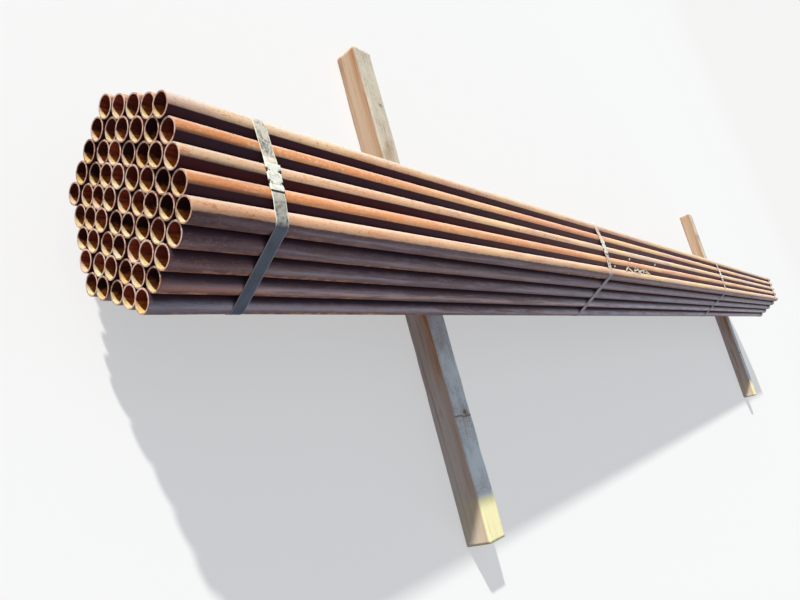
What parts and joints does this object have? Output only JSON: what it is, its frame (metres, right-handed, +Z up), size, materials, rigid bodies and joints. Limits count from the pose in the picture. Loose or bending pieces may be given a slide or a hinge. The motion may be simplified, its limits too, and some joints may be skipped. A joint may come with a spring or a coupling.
{
  "type": "bundle of iron pipes",
  "caption": "Hexagonal bundle of rusty plain-end steel pipes held by flat steel straps with crimped seals, lying on timber bearers.",
  "frame": {"origin": "on the ground under the middle of the bundle, at the undersides of the timber bearers", "axes": "+X along the pipes, away from the end that the picture shows; +Y across the bundle, away from the camera; +Z up"},
  "size_m": [6.406, 1.831, 0.4844],
  "materials": {
    "pipe_steel": "matte",
    "strap_steel": "satin",
    "seal_steel": "satin",
    "timber": "matte"
  },
  "bodies": {
    "root": {"pipe_layer_1": "pipe_steel", "pipe_layer_2": "pipe_steel", "pipe_layer_3": "pipe_steel", "pipe_layer_4": "pipe_steel", "pipe_layer_5": "pipe_steel", "pipe_layer_6": "pipe_steel", "pipe_layer_7": "pipe_steel", "pipe_layer_8": "pipe_steel", "pipe_layer_9": "pipe_steel", "strap_1": "strap_steel", "seal_1": "seal_steel", "strap_2": "strap_steel", "seal_2": "seal_steel", "strap_3": "strap_steel", "seal_3": "seal_steel", "strap_4": "strap_steel", "seal_4": "seal_steel", "bearer_front": "timber", "bearer_rear": "timber"}
  },
  "joints": []
}
